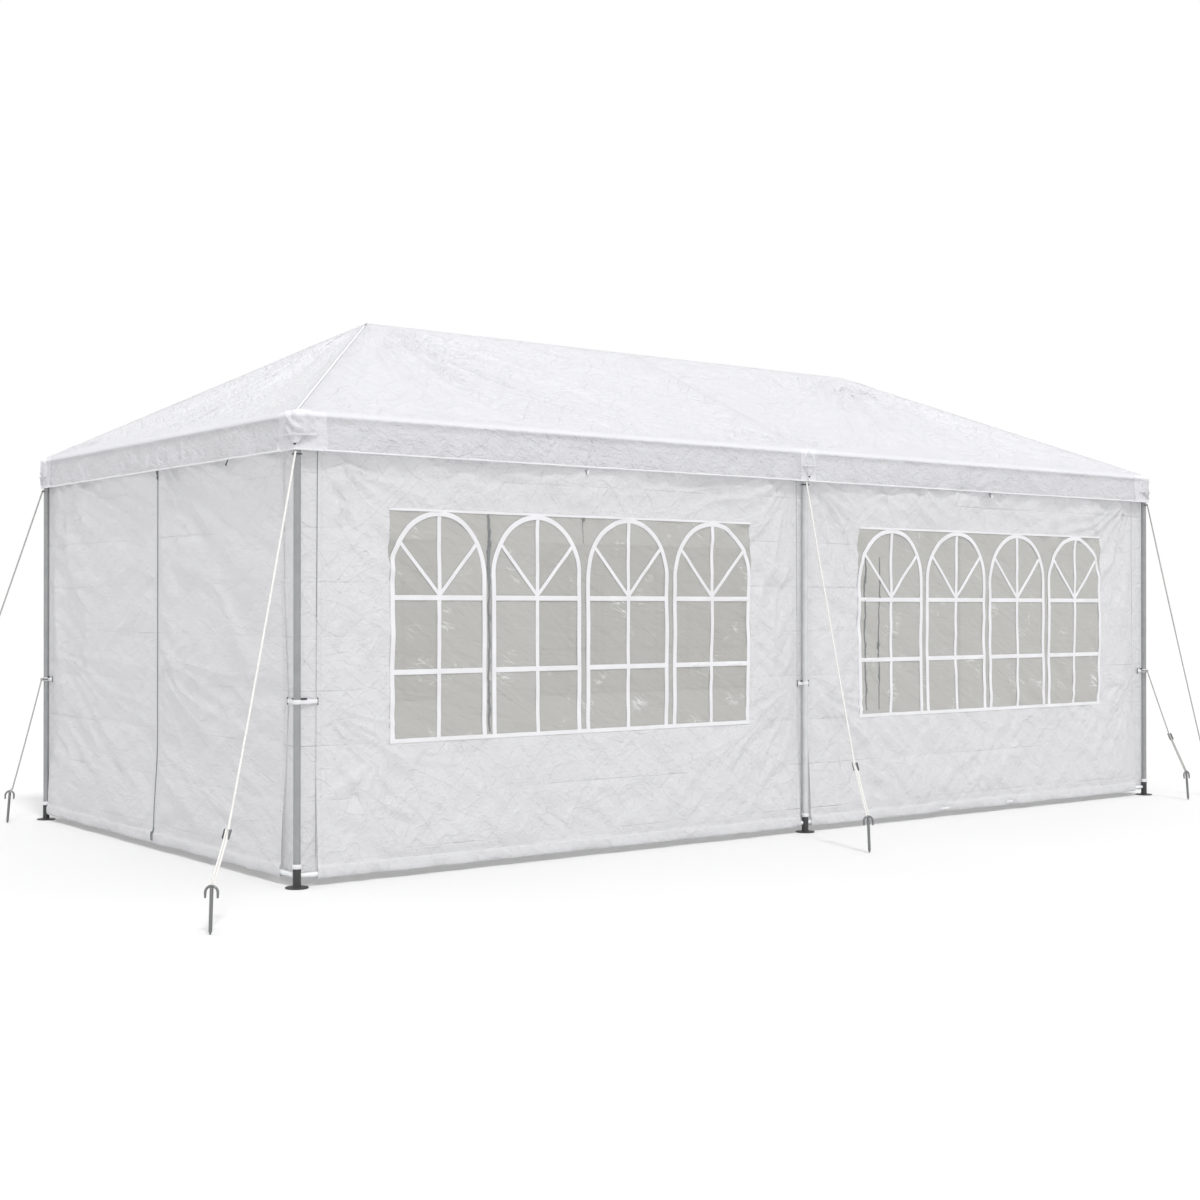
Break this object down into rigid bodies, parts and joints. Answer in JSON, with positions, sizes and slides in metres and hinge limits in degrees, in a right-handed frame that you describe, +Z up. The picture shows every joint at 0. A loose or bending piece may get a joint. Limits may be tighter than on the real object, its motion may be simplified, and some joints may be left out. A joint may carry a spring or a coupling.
{
  "type": "party marquee tent",
  "caption": "White party marquee with a hipped roof on tube legs, window walls along both long sides, zipped end walls and guy ropes with stakes.",
  "frame": {"origin": "on the floor under the middle of the tent, which is the bottom centre of its box", "axes": "+X along the long side to the right of someone facing the front, +Z up, front wall at -Y"},
  "size_m": [7.503, 4.5126, 2.72],
  "materials": {
    "steel_tube": "satin grey powder coat on steel tube",
    "white_tube": "white coated tube",
    "roof_cloth": "white coated polyethylene sheet, softly glossy",
    "wall_cloth": "white crinkled polyethylene sheet",
    "window_film": "milky translucent film",
    "rope": "twisted cream rope with a steel stake"
  },
  "bodies": {
    "root": {"leg_front_left": "steel_tube", "leg_front_middle": "steel_tube", "leg_front_right": "steel_tube", "leg_back_left": "steel_tube", "leg_back_middle": "steel_tube", "leg_back_right": "steel_tube", "rafter_front_left": "steel_tube", "rafter_front_middle": "steel_tube", "rafter_front_right": "steel_tube", "rafter_back_left": "steel_tube", "rafter_back_middle": "steel_tube", "rafter_back_right": "steel_tube", "eave_rail_front_left": "steel_tube", "eave_rail_front_right": "steel_tube", "eave_rail_back_left": "steel_tube", "eave_rail_back_right": "steel_tube", "eave_rail_left_end": "steel_tube", "eave_rail_right_end": "steel_tube", "peak_connector_left": "steel_tube", "peak_connector_right": "steel_tube", "ridge_pole": "steel_tube", "ground_bar_front_left": "white_tube", "ground_bar_front_right": "white_tube", "ground_bar_back_left": "white_tube", "ground_bar_back_right": "white_tube", "ground_bar_left_end": "white_tube", "ground_bar_right_end": "white_tube", "roof_front": "roof_cloth", "roof_back": "roof_cloth", "roof_left": "roof_cloth", "roof_right": "roof_cloth", "valance_front": "roof_cloth", "valance_back": "roof_cloth", "valance_left": "roof_cloth", "valance_right": "roof_cloth", "window_wall_front_left": "wall_cloth", "window_wall_front_right": "wall_cloth", "window_wall_back_left": "wall_cloth", "window_wall_back_right": "wall_cloth", "end_flap_left_front": "wall_cloth", "end_flap_left_back": "wall_cloth", "end_flap_right_front": "wall_cloth", "end_flap_right_back": "wall_cloth", "window_film_front_left": "window_film", "window_film_front_right": "window_film", "window_film_back_left": "window_film", "window_film_back_right": "window_film", "guy_front_left": "rope", "guy_front_middle": "rope", "guy_back_right": "rope", "guy_back_middle": "rope", "guy_back_left_upper": "rope", "guy_back_left_lower": "rope", "guy_front_right_upper": "rope", "guy_front_right_lower": "rope"}
  },
  "joints": []
}
